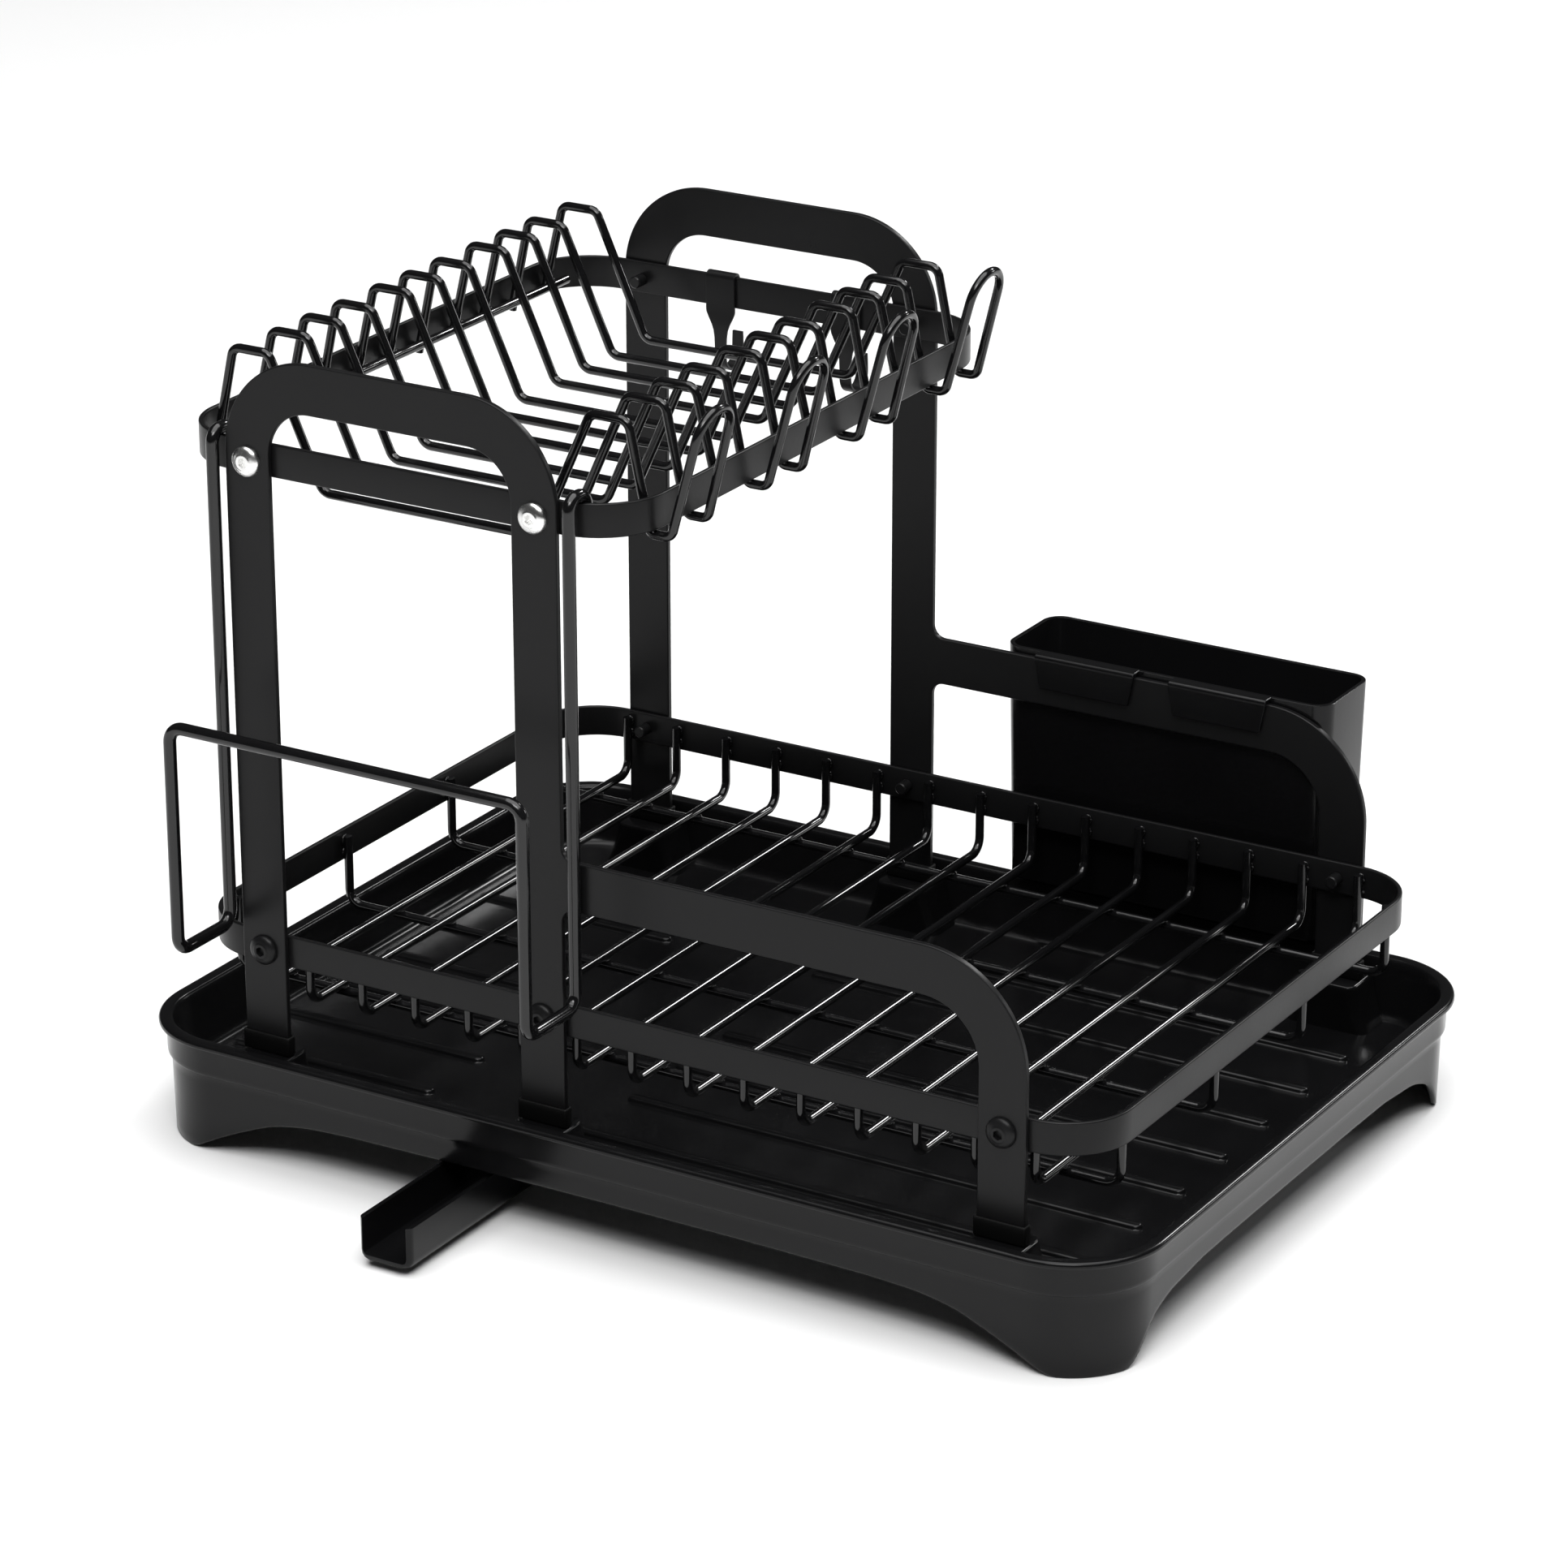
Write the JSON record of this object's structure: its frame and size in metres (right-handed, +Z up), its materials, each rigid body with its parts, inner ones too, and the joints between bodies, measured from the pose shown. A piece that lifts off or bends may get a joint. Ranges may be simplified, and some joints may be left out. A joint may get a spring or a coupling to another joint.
{
  "type": "two-tier dish drying rack",
  "caption": "Two-tier wire dish rack on a drip tray, with flat-bar side frames, plate slots, cup hooks, a board holder, a cutlery box, utensil hooks and a swivelling drain spout.",
  "frame": {"origin": "on the table, under the middle of the whole object's bounding box", "axes": "+X along the long side, towards the low end; +Y from the front, where the spout and the board holder are, to the back, where the cutlery box is; +Z up"},
  "size_m": [0.42, 0.3728, 0.312],
  "materials": {
    "black_plastic": "satin black moulded plastic",
    "black_painted_metal": "satin black powder coat on flat steel",
    "black_coated_wire": "semi-gloss black powder coat on round steel wire",
    "bright_steel": "bright plated steel",
    "black_rubber": "matt black rubber"
  },
  "bodies": {
    "tray": {"drip_tray": "black_plastic"},
    "spout": {"drain_spout": "black_plastic"},
    "rack": {"front_side_frame": "black_painted_metal", "back_side_frame": "black_painted_metal", "upper_ring": "black_painted_metal", "lower_ring": "black_painted_metal", "upper_rail_wire": "black_coated_wire", "plate_cup_wire_1": "black_coated_wire", "plate_cup_wire_2": "black_coated_wire", "plate_cup_wire_3": "black_coated_wire", "plate_cup_wire_4": "black_coated_wire", "plate_wire_1": "black_coated_wire", "plate_wire_2": "black_coated_wire", "plate_wire_3": "black_coated_wire", "long_wire_01": "black_coated_wire", "long_wire_02": "black_coated_wire", "long_wire_03": "black_coated_wire", "long_wire_04": "black_coated_wire", "long_wire_05": "black_coated_wire", "long_wire_06": "black_coated_wire", "long_wire_07": "black_coated_wire", "long_wire_08": "black_coated_wire", "long_wire_09": "black_coated_wire", "long_wire_10": "black_coated_wire", "long_wire_11": "black_coated_wire", "long_wire_12": "black_coated_wire", "long_wire_13": "black_coated_wire", "long_wire_14": "black_coated_wire", "long_wire_15": "black_coated_wire", "cross_wire_1": "black_coated_wire", "cross_wire_2": "black_coated_wire", "cross_wire_3": "black_coated_wire", "cross_wire_4": "black_coated_wire", "leg_cap_front_left": "black_rubber", "leg_cap_front_middle": "black_rubber", "leg_cap_front_right": "black_rubber", "leg_cap_back_left": "black_rubber", "leg_cap_back_middle": "black_rubber", "leg_cap_back_right": "black_rubber", "screw_front_1": "bright_steel", "screw_front_2": "bright_steel", "screw_front_3": "black_painted_metal", "screw_front_4": "black_painted_metal", "screw_front_5": "black_painted_metal", "screw_back_1": "black_painted_metal", "screw_back_2": "black_painted_metal", "screw_back_3": "black_painted_metal", "screw_back_4": "black_painted_metal", "screw_back_5": "black_painted_metal"},
    "cutlery": {"cutlery_box": "black_plastic"},
    "holder": {"board_holder": "black_coated_wire"},
    "hook_left": {"utensil_hook_1": "black_painted_metal"},
    "hook_right": {"utensil_hook_2": "black_painted_metal"}
  },
  "joints": [
    {"name": "spout_swivel", "type": "hinge", "parent": "tray", "child": "spout", "pos_m": [-0.0605, -0.116, 0.0206], "axis": [0, 0, 1], "continuous": true},
    {"name": "rack_lift", "type": "slide", "parent": "tray", "child": "rack", "axis": [0, 0, 1], "range_m": [0, 0.1]},
    {"name": "cutlery_lift", "type": "slide", "parent": "rack", "child": "cutlery", "axis": [0, 0, 1], "range_m": [0, 0.06]},
    {"name": "holder_lift", "type": "slide", "parent": "rack", "child": "holder", "axis": [0, 0, 1], "range_m": [0, 0.06]},
    {"name": "hook_left_slide", "type": "slide", "parent": "rack", "child": "hook_left", "axis": [1, 0, 0], "range_m": [-0.019, 0.019]},
    {"name": "hook_right_slide", "type": "slide", "parent": "rack", "child": "hook_right", "axis": [1, 0, 0], "range_m": [-0.019, 0.01]}
  ]
}
